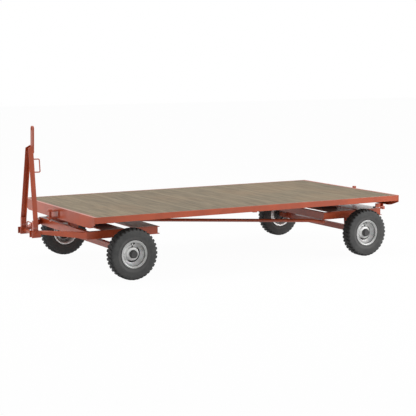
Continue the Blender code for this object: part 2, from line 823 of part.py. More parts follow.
# Assembly
def build_trailer():
    trailer = add_empty("trailer", (bed_shift, 0, 0))
    make_rails(trailer)
    make_end_members(trailer)
    make_beams(trailer)
    make_bearers(trailer)
    make_boards(trailer)
    make_jaws(trailer)
    rod_top = rod_z + rod_eye_thickness / 2
    rod_bottom = rod_z - rod_eye_thickness / 2
    bogies = {}
    for end, x, rod_side, stud_bottom in (
            ("front", axle_x, -1, rod_top + running_gap),
            ("rear", -axle_x, 1, rod_bottom)):
        bogie = add_empty("turntable_" + end, (x, 0, 0), trailer)
        bogies[end] = bogie
        make_rings(end, trailer, bogie, x)
        make_bogie_frame(end, bogie, rod_side, stud_bottom)
        make_axle(end, bogie)
        make_wheels(end, bogie)
    make_draw_arms(bogies["front"])
    make_drawbar(bogies["front"])
    make_steering_rod(bogies["rear"])
    make_lock_bracket(bogies["rear"])


build_trailer()
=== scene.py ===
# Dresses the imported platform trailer: red-orange paint, grey timber, rubber and zinc,
# with rounded steel edges, cut tyre lugs, pressed rims, welds, bolts and pins
import json
import math
import bmesh
import bpy
import numpy as np
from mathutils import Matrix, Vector


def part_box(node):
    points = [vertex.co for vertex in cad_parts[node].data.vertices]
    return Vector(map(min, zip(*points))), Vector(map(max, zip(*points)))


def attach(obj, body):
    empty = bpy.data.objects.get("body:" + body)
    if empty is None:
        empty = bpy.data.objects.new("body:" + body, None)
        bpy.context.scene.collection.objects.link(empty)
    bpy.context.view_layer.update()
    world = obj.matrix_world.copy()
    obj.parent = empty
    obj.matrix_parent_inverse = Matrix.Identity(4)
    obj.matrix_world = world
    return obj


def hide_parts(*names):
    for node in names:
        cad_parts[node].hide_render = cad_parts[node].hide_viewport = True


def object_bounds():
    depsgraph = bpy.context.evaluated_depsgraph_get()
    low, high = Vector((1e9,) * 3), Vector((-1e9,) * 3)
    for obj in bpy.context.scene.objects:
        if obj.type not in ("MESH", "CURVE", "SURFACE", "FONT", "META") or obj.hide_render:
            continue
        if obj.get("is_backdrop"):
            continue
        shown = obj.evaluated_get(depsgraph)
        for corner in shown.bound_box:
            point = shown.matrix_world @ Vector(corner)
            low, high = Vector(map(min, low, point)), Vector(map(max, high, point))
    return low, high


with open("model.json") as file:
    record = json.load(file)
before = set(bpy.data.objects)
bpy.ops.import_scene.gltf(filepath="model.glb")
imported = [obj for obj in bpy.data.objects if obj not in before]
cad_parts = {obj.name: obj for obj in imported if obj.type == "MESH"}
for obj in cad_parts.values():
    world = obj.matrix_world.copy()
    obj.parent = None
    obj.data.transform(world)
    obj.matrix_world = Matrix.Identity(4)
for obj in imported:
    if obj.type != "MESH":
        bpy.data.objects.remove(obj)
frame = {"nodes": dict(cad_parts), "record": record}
cadLow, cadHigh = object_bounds()
nodes = frame["nodes"]


# Camera, at the place from which the photo's lines fit the bed and the wheels
cameraSetup = {
    "place": (5.09375, 8.9860, 1.7796),
    "heading": 240.2445,        # degrees from +X, counter-clockwise
    "dip": 7.449,               # degrees below level
    "focalPixels": 1168.98,
    "picturePixels": 416,
    "sensorWidth": 36.0,
}


def makeCamera(setup):
    data = bpy.data.cameras.new("studioCamera")
    data.sensor_width = setup["sensorWidth"]
    data.lens = setup["focalPixels"] * setup["sensorWidth"] / setup["picturePixels"]
    camera = bpy.data.objects.new("studioCamera", data)
    bpy.context.scene.collection.objects.link(camera)
    heading, dip = math.radians(setup["heading"]), math.radians(setup["dip"])
    look = Vector((math.cos(heading) * math.cos(dip), math.sin(heading) * math.cos(dip),
                   -math.sin(dip)))
    camera.location = setup["place"]
    camera.rotation_mode = "QUATERNION"
    camera.rotation_quaternion = look.to_track_quat("-Z", "Y")
    bpy.context.scene.camera = camera


makeCamera(cameraSetup)


# Shader maths: a Wire is one output of a node, and sums on wires add Math nodes
class Wire:
    def __init__(self, finish, socket):
        self.finish, self.socket = finish, socket

    def maths(self, operation, first, second=0.0):
        return self.finish.node("ShaderNodeMath", {"operation": operation},
                                {0: first, 1: second})

    def __add__(self, other):
        return self.maths("ADD", self, other)

    def __radd__(self, other):
        return self.maths("ADD", other, self)

    def __sub__(self, other):
        return self.maths("SUBTRACT", self, other)

    def __rsub__(self, other):
        return self.maths("SUBTRACT", other, self)

    def __mul__(self, other):
        return self.maths("MULTIPLY", self, other)

    def __rmul__(self, other):
        return self.maths("MULTIPLY", other, self)

    def __truediv__(self, other):
        return self.maths("DIVIDE", self, other)

    def part(self, operation):
        return self.maths(operation, self)


class Finish:
    # One material; node() makes any node, with its settings first and its inputs after
    def __init__(self, name, **numbers):
        self.material = bpy.data.materials.new(name)
        self.material.use_nodes = True
        self.tree = self.material.node_tree
        self.shader = self.tree.nodes["Principled BSDF"]
        for socket, value in numbers.items():
            self.shader.inputs[socket.replace("_", " ")].default_value = value
        self.place = self.node("ShaderNodeTexCoord", output="Object")

    def node(self, kind, settings=None, inputs=None, output=0):
        made = self.tree.nodes.new(kind)
        for key, value in (settings or {}).items():
            setattr(made, key, value)
        for key, value in (inputs or {}).items():
            if isinstance(value, Wire):
                self.tree.links.new(value.socket, made.inputs[key])
            else:
                made.inputs[key].default_value = value
        return Wire(self, made.outputs[output])

    def feed(self, socket, wire):
        self.tree.links.new(wire.socket, self.shader.inputs[socket])

    def stretched(self, scale):
        return self.node("ShaderNodeMapping", {}, {"Vector": self.place, "Scale": scale})

    def noise(self, vector, scale, detail, rough=0.5):
        return self.node("ShaderNodeTexNoise", {},
                         {"Vector": vector, "Scale": scale, "Detail": detail,
                          "Roughness": rough})

    def spread(self, wire, low, high, newLow=0.0, newHigh=1.0):
        return self.node("ShaderNodeMapRange", {"interpolation_type": "SMOOTHSTEP"},
                         {0: wire, 1: low, 2: high, 3: newLow, 4: newHigh})

    def blend(self, share, first, second, way="MIX"):
        return self.node("ShaderNodeMix", {"data_type": "RGBA", "blend_type": way},
                         {0: share, 6: first, 7: second}, 2)

    def band(self, wire, edges):
        # One between the two middle edges, and nothing outside the outer two
        first, full, fall, last = edges
        return self.spread(wire, first, full) * self.spread(wire, fall, last, 1.0, 0.0)

    def bump(self, height, strength, distance):
        return self.node("ShaderNodeBump", {},
                         {"Height": height, "Strength": strength, "Distance": distance})

    def axes(self):
        split = self.node("ShaderNodeSeparateXYZ", {}, {0: self.place}).socket.node
        return [Wire(self, out) for out in split.outputs]


def colour(red, green, blue):
    # A colour as it looks on a screen, from 0 to 255, turned into linear light
    shares = np.array((red, green, blue)) / 255
    light = np.where(shares <= 0.04045, shares / 12.92, ((shares + 0.055) / 1.055) ** 2.4)
    return (*light.tolist(), 1.0)


# Red-orange gloss paint, a little uneven, with road dust low down and a pale sheen on the
# tops of the bogies' frames, a painted reflection that lifts their shaded tops
paintLook = {
    "base": colour(185, 80, 43),
    "deep": colour(168, 71, 38),
    "cloudScale": 5.0,
    "dustAndSheen": colour(150, 104, 82),
    "dustHeights": (0.10, 0.30),     # full dust at the first height, none at the second
    "dustShare": 0.35,
    "speckScale": 90.0,
    "paintedSheen": colour(205, 190, 186),
    "sheenDepth": 0.0016,             # how near to the height of those tops it lies
    "roughness": 0.27,
    "peelScale": 240.0,
    "peelBump": (0.03, 0.001),
}


def makePaint(look):
    finish = Finish("redOrangePaint", Coat_Weight=0.10, Coat_Roughness=0.2)
    clouds = finish.noise(finish.place, look["cloudScale"], 4.0)
    specks = finish.noise(finish.place, look["speckScale"], 2.0)
    body = finish.blend(finish.spread(clouds, 0.35, 0.65), look["base"], look["deep"])
    height = finish.axes()[2]
    low = finish.spread(height, *look["dustHeights"], 1.0, 0.0)
    dustAndSheen = low * finish.spread(specks + clouds, 0.85, 1.25) * look["dustShare"]
    body = finish.blend(dustAndSheen, body, look["dustAndSheen"])
    # Painted sheen: a pale reflection painted into the colour of the frames' tops, which lie in
    # shade under the bed
    toTop = (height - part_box("bogie_frame_front")[1].z).part("ABSOLUTE")
    paintedSheen = toTop.maths("LESS_THAN", toTop, look["sheenDepth"]) * (0.6 + 0.35 * clouds)
    finish.feed("Base Color", finish.blend(paintedSheen, body, look["paintedSheen"]))
    finish.feed("Roughness", look["roughness"] + 0.10 * clouds + 0.3 * dustAndSheen - 0.12 * paintedSheen)
    peel = finish.noise(finish.place, look["peelScale"], 2.0)
    finish.feed("Normal", finish.bump(peel, *look["peelBump"]))
    return finish.material


# Weathered boards: fibres along y, each board a tone of its own, edges rubbed paler
timberLook = {
    "light": colour(143, 129, 106),
    "mid": colour(129, 116, 94),
    "dark": colour(105, 93, 74),
    "rubbed": colour(160, 147, 124),
    "warm": colour(140, 120, 95),
    "boards": (2, 11),               # two boards whose front edges give the boards' pitch
    "rubStart": 0.002, "rubWidth": 0.026,
    "fibreScale": 95.0, "fibreStretch": (1.0, 0.045, 1.0), "fibreBump": (0.25, 0.0015),
    "figureScale": 14.0, "figureStretch": (1.0, 0.12, 1.0),
    "streakScale": 30.0, "streakStretch": (1.0, 0.10, 1.0),
    "patchScale": 2.2, "patchStretch": (1.0, 0.6, 1.0),
}


def makeTimber(look):
    finish = Finish("weatheredTimber", Roughness=0.8)
    near, far = look["boards"]
    first, last = (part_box(f"deck_board_{number:02d}")[1].x for number in (near, far))
    pitch = (first - last) / (far - near)
    across = finish.axes()[0]
    board = (across - first) / pitch
    tone = finish.node("ShaderNodeTexWhiteNoise", {"noise_dimensions": "1D"},
                       {"W": board.part("CEIL")})
    share = board.part("FRACT")
    toSeam = share.maths("MINIMUM", share, 1.0 - share) * pitch
    fibres = finish.noise(finish.stretched(look["fibreStretch"]), look["fibreScale"], 5.0, 0.6)
    figure = finish.noise(finish.stretched(look["figureStretch"]), look["figureScale"], 3.0)
    wood = finish.blend(finish.spread(fibres, 0.30, 0.70), look["dark"], look["light"])
    wood = finish.blend(finish.spread(figure, 0.3, 0.7) * 0.45, wood, look["mid"])
    patches = finish.noise(finish.stretched(look["patchStretch"]), look["patchScale"], 2.0)
    wood = finish.blend(finish.spread(patches, 0.42, 0.62) * 0.55, wood, look["warm"])
    streaks = finish.noise(finish.stretched(look["streakStretch"]), look["streakScale"], 3.0)
    bright = 0.77 + 0.16 * tone + finish.spread(streaks, 0.35, 0.65) * 0.26
    shade = finish.node("ShaderNodeCombineColor", {}, {
        key: bright for key in ("Red", "Green", "Blue")})
    wood = finish.blend(1.0, wood, shade, "MULTIPLY")
    rubbed = finish.spread(toSeam, look["rubStart"], look["rubWidth"], 0.9, 0.0)
    rubbed = rubbed * (0.10 + 0.95 * figure)
    finish.feed("Base Color", finish.blend(rubbed, wood, look["rubbed"]))
    finish.feed("Roughness", 0.72 + 0.16 * fibres)
    finish.feed("Normal", finish.bump(fibres, *look["fibreBump"]))
    return finish.material


def wheelPlace(finish):
    # From the nearest axle: forwards, up and the distance, as three wires
    x, _, z = finish.axes()
    low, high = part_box("tyre_front_left")
    frontHub, hubHeight = (low.x + high.x) / 2, (low.z + high.z) / 2
    rearHub = sum(corner.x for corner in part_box("tyre_rear_left")) / 2
    ahead = x - (x.maths("GREATER_THAN", x, 0.0) * (frontHub - rearHub) + rearHub)
    up = z - hubHeight
    return ahead, up, (ahead * ahead + up * up).part("SQRT")


# Rubber: paler in a band outside the rim, a painted highlight where the sidewall's bulge catches
# light, and darker on the tread
rubberLook = {
    "dark": colour(65, 65, 65),
    "light": colour(76, 76, 75),
    "dustAndSheen": colour(92, 91, 90),
    "sheenBand": (0.112, 0.122, 0.134, 0.150),
    "tread": colour(46, 46, 46),
    "treadStart": (0.192, 0.204),
    "cloudScale": 22.0,
    "grainScale": 420.0,
    "grainBump": (0.12, 0.0008),
}


def makeRubber(look):
    finish = Finish("tyreRubber", Specular_IOR_Level=0.35)
    clouds = finish.noise(finish.place, look["cloudScale"], 4.0)
    grains = finish.noise(finish.place, look["grainScale"], 2.0)
    radius = wheelPlace(finish)[2]
    tone = finish.blend(finish.spread(clouds, 0.35, 0.7), look["dark"], look["light"])
    # Painted highlight: a paler band on the sidewall outside the rim, standing in for light on
    # its bulge
    dustAndSheen = finish.band(radius, look["sheenBand"])
    tone = finish.blend(dustAndSheen * (0.35 + 0.5 * clouds), tone, look["dustAndSheen"])
    tone = finish.blend(finish.spread(radius, *look["treadStart"]), tone, look["tread"])
    finish.feed("Base Color", tone)
    finish.feed("Roughness", 0.62 + 0.16 * clouds)
    finish.feed("Normal", finish.bump(grains, *look["grainBump"]))
    return finish.material


# Zinc: a faint spangle, and on the wheels painted shade in the groove of each disc, on the lower
# rear side of the hub, a darker flange, and a painted highlight of paler metal on the far side of
# the hub from that shade and inside the rim
zincLook = {
    "dull": colour(170, 170, 169),
    "bright": colour(204, 204, 203),
    "spangleScale": 150.0,
    "cloudScale": 22.0,
    "grainScale": 160.0,
    "bump": (0.10, 0.0015),
    "edge": colour(138, 138, 137),
    "edgeStart": (0.0980, 0.1030),
    "grooveShade": colour(34, 34, 34),
    "paintedHighlight": colour(240, 240, 239),
    "groove": (0.0535, 0.0580, 0.0660, 0.0715),   # radii where the painted shade starts and ends
    "slope": (-0.78, -0.62),                      # ahead and up, towards the painted shade's middle
    "shadeWay": (-0.25, 0.35),                    # cosines from the slope, none and full
    "highlightWay": (-0.95, 0.20),                    # the same, full and none
    "innerSide": (-0.007, -0.003),                # outwards from the wheel's middle, where the painted highlight inside the rim fades
}


def makeZinc(look):
    finish = Finish("zincPlate", Metallic=0.45)
    spangle = finish.node("ShaderNodeTexVoronoi", {},
                          {"Vector": finish.place, "Scale": look["spangleScale"]}, "Color")
    clouds = finish.noise(finish.place, look["cloudScale"], 4.0)
    grains = finish.noise(finish.place, look["grainScale"], 2.0)
    tone = finish.blend(finish.spread(clouds * 0.6 + grains * 0.4, 0.36, 0.64),
                        look["dull"], look["bright"])
    tone = finish.blend(0.15, tone, spangle, "SOFT_LIGHT")
    ahead, up, radius = wheelPlace(finish)
    way = (ahead * look["slope"][0] + up * look["slope"][1]) / (radius + 0.001)
    # Painted highlight: paler metal on the side of the hub away from the painted shade, where
    # more light falls
    tone = finish.blend(finish.spread(way, *look["highlightWay"], 0.6, 0.0), tone, look["paintedHighlight"])
    tone = finish.blend(finish.spread(radius, *look["edgeStart"]) * 0.6, tone, look["edge"])
    # Painted highlight: the rim's inner side made paler, where it lies in shade
    track = sum(corner.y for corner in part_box("tyre_front_left")) / 2
    across = finish.axes()[1].part("ABSOLUTE") - track
    tone = finish.blend(finish.spread(across, *look["innerSide"], 0.9, 0.0), tone, look["paintedHighlight"])
    # Painted shade: the groove darkened on the side of the hub where the raised boss shades it
    grooveShade = finish.band(radius, look["groove"]) * finish.spread(way, *look["shadeWay"])
    finish.feed("Base Color", finish.blend(grooveShade, tone, look["grooveShade"]))
    finish.feed("Roughness", 0.34 + 0.18 * clouds + 0.3 * grooveShade)
    finish.feed("Normal", finish.bump(clouds + 0.3 * grains, *look["bump"]))
    return finish.material


# Dark steel: hubs, slewing rings and screws, dull and slightly mottled
darkSteelLook = {
    "dark": colour(54, 54, 55),
    "light": colour(70, 69, 68),
    "cloudScale": 30.0,
    "grainScale": 260.0,
    "grainBump": (0.08, 0.0008),
}


def makeDarkSteel(look):
    finish = Finish("darkSteel", Metallic=0.1)
    clouds = finish.noise(finish.place, look["cloudScale"], 3.0)
    finish.feed("Base Color", finish.blend(clouds, look["dark"], look["light"]))
    finish.feed("Roughness", 0.52 + 0.2 * clouds)
    grains = finish.noise(finish.place, look["grainScale"], 2.0)
    finish.feed("Normal", finish.bump(grains, *look["grainBump"]))
    return finish.material


finishes = {
    "paint": makePaint(paintLook),
    "timber": makeTimber(timberLook),
    "rubber": makeRubber(rubberLook),
    "zinc": makeZinc(zincLook),
    "dark_steel": makeDarkSteel(darkSteelLook),
}
print("finishes:", ", ".join(finishes))


# Every CAD node takes the finish of its material slot
def dressNodes():
    for row in frame["record"]["subparts"]:
        for slot in nodes[row["node"]].material_slots:
            slot.material = finishes[row["material_slot"]]


dressNodes()


# Mesh helpers: a chunk is a list of points and the four-cornered faces between them
def gridChunk(points, wrapRows=False):
    # Each face joins a grid point with its neighbours to the right, below right and below;
    # the last column joins the first one
    rows, columns = points.shape[:2]
    ids = np.arange(rows * columns).reshape(rows, columns)
    ids = np.vstack((ids, ids[:1])) if wrapRows else ids
    ids = np.hstack((ids, ids[:, :1]))
    faces = np.stack((ids[:-1, :-1], ids[:-1, 1:], ids[1:, 1:], ids[1:, :-1]), -1)
    return points.reshape(-1, 3), faces.reshape(-1, 4)


def smoothLine(stops, steps):
    # Cubic through every stop, with a slope there of half the step between its neighbours
    stops = np.asarray(stops, float)
    padded = np.vstack((2 * stops[0] - stops[1], stops, 2 * stops[-1] - stops[-2]))
    slopes = (padded[2:] - padded[:-2]) / 2
    t = np.linspace(0, 1, steps, endpoint=False)[None, :, None]
    line = ((2 * t**3 - 3 * t**2 + 1) * stops[:-1, None]
            + (t**3 - 2 * t**2 + t) * slopes[:-1, None]
            + (3 * t**2 - 2 * t**3) * stops[1:, None] + (t**3 - t**2) * slopes[1:, None])
    return np.vstack((line.reshape(-1, stops.shape[1]), stops[-1:]))


def eased(corners, setback, steps, closed=False):
    # Each corner gives way to a parabola that starts and ends a setback away from it
    corners = np.asarray(corners, float)
    middle = corners if closed else corners[1:-1]
    before = (np.roll(corners, 1, 0) if closed else corners[:-2]) - middle
    after = (np.roll(corners, -1, 0) if closed else corners[2:]) - middle
    ends = []
    for side in (before, after):
        length = np.linalg.norm(side, axis=1, keepdims=True)
        ends.append(middle + side / length * np.minimum(setback, 0.45 * length))
    t = np.linspace(0, 1, steps + 1)[None, :, None]
    bends = ((1 - t)**2 * ends[0][:, None] + 2 * t * (1 - t) * middle[:, None]
             + t**2 * ends[1][:, None]).reshape(-1, corners.shape[1])
    return bends if closed else np.vstack((corners[:1], bends, corners[-1:]))


def turnedChunk(profile, centre, axis, sides, closed=False):
    # Centre + along * axis + radius * (cos a * first + sin a * second), for each profile point
    axis = np.asarray(axis, float) / np.linalg.norm(axis)
    first = np.cross(axis, np.eye(3)[np.argmin(np.abs(axis))])
    first = first / np.linalg.norm(first)
    second = np.cross(axis, first)
    angle = np.linspace(0, 2 * np.pi, sides, endpoint=False)[None, :, None]
    along, radius = np.asarray(profile, float).T[:, :, None, None]
    points = np.asarray(centre) + along * axis + radius * (
        np.cos(angle) * first + np.sin(angle) * second)
    return gridChunk(points, wrapRows=closed)


def tubeChunk(path, radius, flat, sides=16, closed=False):
    # A circle carried along a path in one plane: point + radius * (cos a * flat + sin a * side)
    path = np.asarray(path, float)
    flat = np.asarray(flat, float) / np.linalg.norm(flat)
    if closed:
        tangent = np.roll(path, -1, 0) - np.roll(path, 1, 0)
    else:
        tangent = np.gradient(path, axis=0)
    side = np.cross(tangent, flat)
    side = side / np.linalg.norm(side, axis=1, keepdims=True)
    radius = np.broadcast_to(radius, len(path)).astype(float)
    if not closed:
        path, side = (np.vstack((rows[:1], rows, rows[-1:])) for rows in (path, side))
        radius = np.concatenate(([0.0], radius, [0.0]))
    angle = np.linspace(0, 2 * np.pi, sides, endpoint=False)[None, :, None]
    points = path[:, None] + radius[:, None, None] * (
        np.cos(angle) * flat + np.sin(angle) * side[:, None])
    return gridChunk(points, wrapRows=closed)


def repeated(chunk, shifts):
    # Copies of a chunk, one moved by each shift
    points, faces = chunk
    shifts = np.asarray(shifts, float)
    moved = points[None] + shifts[:, None]
    offsets = np.arange(len(shifts)) * len(points)
    return moved.reshape(-1, 3), (faces[None] + offsets[:, None, None]).reshape(-1, 4)


def addPiece(name, chunks, finish, body, stands=(), sharpAngle=35):
    # Joins the chunks, merges their doubles, turns the faces outwards and rides on the body
    starts = np.cumsum([0] + [len(points) for points, faces in chunks[:-1]])
    points = np.concatenate([points for points, faces in chunks])
    faces = np.concatenate([chunk[1] + start for chunk, start in zip(chunks, starts)])
    mesh = bpy.data.meshes.new(name)
    mesh.from_pydata(points.tolist(), [], faces.tolist())
    work = bmesh.new()
    work.from_mesh(mesh)
    bmesh.ops.remove_doubles(work, verts=work.verts, dist=0.000002)
    bmesh.ops.recalc_face_normals(work, faces=work.faces)
    work.to_mesh(mesh)
    work.free()
    mesh.shade_smooth()
    mesh.set_sharp_from_angle(angle=math.radians(sharpAngle))
    mesh.materials.append(finishes[finish])
    piece = bpy.data.objects.new(name, mesh)
    bpy.context.scene.collection.objects.link(piece)
    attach(piece, body)
    if stands:
        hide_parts(*stands)


def middleOf(node):
    low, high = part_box(node)
    return np.array((low + high) / 2)


# Wheels: name, outer side, centre and tyre radius of each, from the CAD tyres
wheels = []
for end in ("front", "rear"):
    for sideName, side in (("left", 1), ("right", -1)):
        low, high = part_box(f"tyre_{end}_{sideName}")
        wheels.append({"name": f"{end}_{sideName}", "side": side,
                       "centre": np.array((low + high) / 2), "radius": (high.z - low.z) / 2})


# Tyres: a section carried round the axle, with cross lugs cut into its tread
tyreShape = {
    "lugs": 36,
    "groove": 0.009,
    "lugStops": (-0.30, -0.275, -0.265, -0.14, 0.0, 0.14, 0.265, 0.275, 0.30, 0.38, 0.5, 0.62),
    "lugTops": (0.0, 0.88, 1.0, 1.0, 1.0, 1.0, 1.0, 0.88, 0.0, 0.0, 0.0, 0.0),
    "halfSection": [             # across, radius: from the bead to the middle of the tread
        (0.0347, 0.1012), (0.0358, 0.1050), (0.0374, 0.1092), (0.0398, 0.1140),
        (0.0440, 0.1215), (0.0488, 0.1330), (0.0519, 0.1460), (0.0533, 0.1590),
        (0.0532, 0.1700), (0.0524, 0.1800), (0.0512, 0.1880), (0.0492, 0.1950),
        (0.0455, 0.2020), (0.0410, 0.2062), (0.0360, 0.2082), (0.0230, 0.2089),
        (0.0090, 0.2090), (0.0, 0.2090)],
    "sectionRadius": 0.2090,
    "sideLugs": (0.1900, 0.2000),    # radii over which the lugs rise from the sidewall
    "sideDepth": 0.60,               # share of the groove's depth there
    "deepLugs": (0.1970, 0.2050),    # radii over which the grooves reach their full depth
    "rib": (0.0060, 0.0260),         # half widths between which the grooves deepen
    "ribDepth": 0.30,
    "chevron": 0.45,                 # share of a pitch by which the middle leads the shoulder
    "chevronHalf": 0.040,
    "ridges": ((0.1470, 0.0040, 0.0017), (0.1780, 0.0020, 0.0010)),   # radius, width, height
}


def smoothStep(values, low, high):
    share = np.clip((values - low) / (high - low), 0, 1)
    return share * share * (3 - 2 * share)


def tyreChunk(shape, centre, radius):
    # Point = section point - groove depth * (1 - lug top) * section normal, turned by the
    # angle of its column, which leads towards the middle so that the lugs form chevrons
    half = smoothLine(shape["halfSection"], 2)
    section = np.vstack((half * (-1, 1), half[-2::-1]))
    across, out = section.T
    slope = np.gradient(section, axis=0)
    normal = np.stack((-slope[:, 1], slope[:, 0]), -1)
    normal = normal / np.linalg.norm(normal, axis=1, keepdims=True)
    depth = smoothStep(out, *shape["sideLugs"]) * (
        shape["sideDepth"] + (1 - shape["sideDepth"]) * smoothStep(out, *shape["deepLugs"]))
    depth = depth * (shape["ribDepth"] + (1 - shape["ribDepth"])
                     * smoothStep(np.abs(across), *shape["rib"])) * shape["groove"]
    ridges = sum(height * np.exp(-((out - spot) / width)**2)
                 for spot, width, height in shape["ridges"])
    tops = np.tile(shape["lugTops"], shape["lugs"])[None]
    lift = ridges[:, None] - depth[:, None] * (1 - tops)
    y = across[:, None] + lift * normal[:, :1]
    r = (out[:, None] + lift * normal[:, 1:]) * radius / shape["sectionRadius"]
    lead = shape["chevron"] * (1 - np.clip(np.abs(across) / shape["chevronHalf"], 0, 1))
    stops = np.arange(shape["lugs"])[:, None] + np.array(shape["lugStops"])
    angle = (stops.reshape(1, -1) + lead[:, None]) * 2 * np.pi / shape["lugs"] - np.pi / 2
    points = np.stack((r * np.cos(angle), np.broadcast_to(y, r.shape), r * np.sin(angle)), -1)
    return gridChunk(points + centre, wrapRows=True)


for wheel in wheels:
    addPiece("tyreCut_" + wheel["name"], [tyreChunk(tyreShape, wheel["centre"], wheel["radius"])],
             "rubber", "wheel_" + wheel["name"], ["tyre_" + wheel["name"]], 40)
print("tyres: 4")


# Rims: a curled flange, the barrel, and a dished disc with a raised middle
rimShape = {
    "outer": [(0.0350, 0.1003), (0.0368, 0.1060), (0.0400, 0.1115), (0.0436, 0.1142),
              (0.0458, 0.1134), (0.0462, 0.1090), (0.0446, 0.1030), (0.0424, 0.0985),
              (0.0398, 0.0966), (0.0210, 0.0962), (0.0180, 0.0935), (0.0080, 0.0840),
              (0.0010, 0.0745), (-0.0025, 0.0680), (-0.0020, 0.0600), (0.0145, 0.0525),
              (0.0180, 0.0490), (0.0190, 0.0310), (0.0190, 0.0290)],
    "discStops": (9, 13),            # which of those make the disc under the valve's slot
    "inner": [(0.0150, 0.0290), (0.0140, 0.0470), (0.0110, 0.0495), (-0.0060, 0.0580),
              (-0.0065, 0.0690), (-0.0030, 0.0765), (0.0150, 0.0958), (-0.0398, 0.0966),
              (-0.0424, 0.0985), (-0.0450, 0.1030), (-0.0468, 0.1090), (-0.0462, 0.1136),
              (-0.0436, 0.1142), (-0.0400, 0.1115), (-0.0368, 0.1060), (-0.0350, 0.1003)],
    "easing": 0.0035,
    "sides": 96,
}
# Hubs: a dark cap outside, in a rubber collar, and the bearing boss with its flange behind
hubShape = {
    "profile": [(-0.0450, 0.0), (-0.0450, 0.0320), (-0.0180, 0.0320), (-0.0180, 0.0470),
                (-0.0100, 0.0470), (-0.0060, 0.0300), (0.0060, 0.0286), (0.0405, 0.0286),
                (0.0440, 0.0268), (0.0455, 0.0225), (0.0440, 0.0160), (0.0442, 0.0)],
    "collar": [(0.0188, 0.0287), (0.0188, 0.0345), (0.0225, 0.0335), (0.0400, 0.0308),
               (0.0408, 0.0287)],
    "easing": 0.0020,
    "sides": 56,
}
# Valves: a metal stem with a rubber foot and cap, which leans out of a slot above the hub; the
# slot is a dark oval laid on the disc, painted shade standing in for the hole
valveShape = {
    "slot": (-0.004, 0.0820, 0.0190, 0.0115),   # forwards, up, half width, half height
    "slotLift": 0.0006,
    "foot": [(-0.004, 0.0), (-0.004, 0.0062), (0.003, 0.0058), (0.006, 0.0040), (0.006, 0.0)],
    "stem": [(0.004, 0.0), (0.004, 0.0042), (0.028, 0.0042), (0.028, 0.0)],
    "cap": [(0.026, 0.0), (0.026, 0.0060), (0.0375, 0.0058), (0.0405, 0.0042), (0.0405, 0.0)],
    "start": (-0.002, 0.009, 0.0930),           # forwards, outwards, up from the axle
    "lean": (0.30, 0.36, -0.88),
    "sides": 14,
}


def addWheelMetal(wheel):
    centre, out = wheel["centre"], np.array((0, wheel["side"], 0))
    body = "wheel_" + wheel["name"]
    section = eased(rimShape["outer"] + rimShape["inner"], rimShape["easing"], 3, True)
    addPiece("rimPressed_" + wheel["name"],
             [turnedChunk(section, centre, out, rimShape["sides"], True)],
             "zinc", body, ["rim_" + wheel["name"]], 50)
    profile = eased(hubShape["profile"], hubShape["easing"], 3)
    addPiece("hubTurned_" + wheel["name"], [turnedChunk(profile, centre, out, hubShape["sides"])],
             "dark_steel", body, ["hub_" + wheel["name"]], 40)
    collar = turnedChunk(hubShape["collar"], centre, out, hubShape["sides"], True)
    turn = np.array((1, wheel["side"], 1))
    lean = np.array(valveShape["lean"]) * turn
    start = centre + np.array(valveShape["start"]) * turn
    stem, foot, cap = (turnedChunk(valveShape[part], start, lean, valveShape["sides"])
                       for part in ("stem", "foot", "cap"))
    addPiece("valveStem_" + wheel["name"], [stem], "zinc", body)
    addPiece("valveFoot_" + wheel["name"], [foot, cap, slotChunk(wheel), collar], "rubber", body)


def slotChunk(wheel):
    # An oval laid on the disc, painted shade in place of the valve's hole: outwards = the rim's
    # outer profile at the point's radius
    ahead, up, halfWidth, halfHeight = valveShape["slot"]
    angle = np.linspace(0, 2 * np.pi, 32, endpoint=False)
    share = np.array((0.0, 0.5, 0.97, 1.0, 0.5, 0.0))[:, None]
    lift = np.array((1.0, 1.0, 1.0, -1.0, -1.0, -1.0))[:, None] * valveShape["slotLift"]
    x, z = ahead + share * halfWidth * np.cos(angle), up + share * halfHeight * np.sin(angle)
    disc = np.array(rimShape["outer"][slice(*rimShape["discStops"])])[::-1]
    out = np.interp(np.hypot(x, z), disc[:, 1], disc[:, 0]) + lift
    return gridChunk(np.stack((x, out * wheel["side"], z), -1) + wheel["centre"])


for wheel in wheels:
    addWheelMetal(wheel)
print("rims, hubs and valves: 4 of each")


# Turntables: smooth slewing rings with bolt heads
ringShape = {
    "inner": 0.130, "wall": 0.150, "outer": 0.175, "flange": 0.008, "gap": 0.002,
    "edgeGap": 0.0005, "easing": 0.001, "sides": 96,
    "bolts": 12, "boltCircle": 0.163,
    "plateThick": 0.010, "trayThick": 0.005,
    "plateMiddle": 0.07, "plateHalf": 0.09,      # where the wide plate lies under the ring
}
boltShape = {
    "head": [(0.0, 0.0), (0.0, 0.0075), (0.0042, 0.0075), (0.0052, 0.0065), (0.0052, 0.0)],
    "washer": [(0.0, 0.0), (0.0, 0.0095), (0.0014, 0.0095), (0.0014, 0.0)],
    "washerThick": 0.0014,
}


def boltChunks(places, axis):
    # A hexagon head on a round washer at each place
    onWasher = np.array(boltShape["head"]) + (boltShape["washerThick"], 0)
    head = turnedChunk(onWasher, (0, 0, 0), axis, 6)
    washer = turnedChunk(boltShape["washer"], (0, 0, 0), axis, 14)
    return [repeated(head, places), repeated(washer, places)]


def circlePlaces(centre, radius, count, start):
    # Places on a level circle, the first one at the start angle
    angle = start + np.arange(count) * 2 * np.pi / count
    flat = np.zeros(count)
    return np.asarray(centre) + radius * np.stack((np.cos(angle), np.sin(angle), flat), -1)


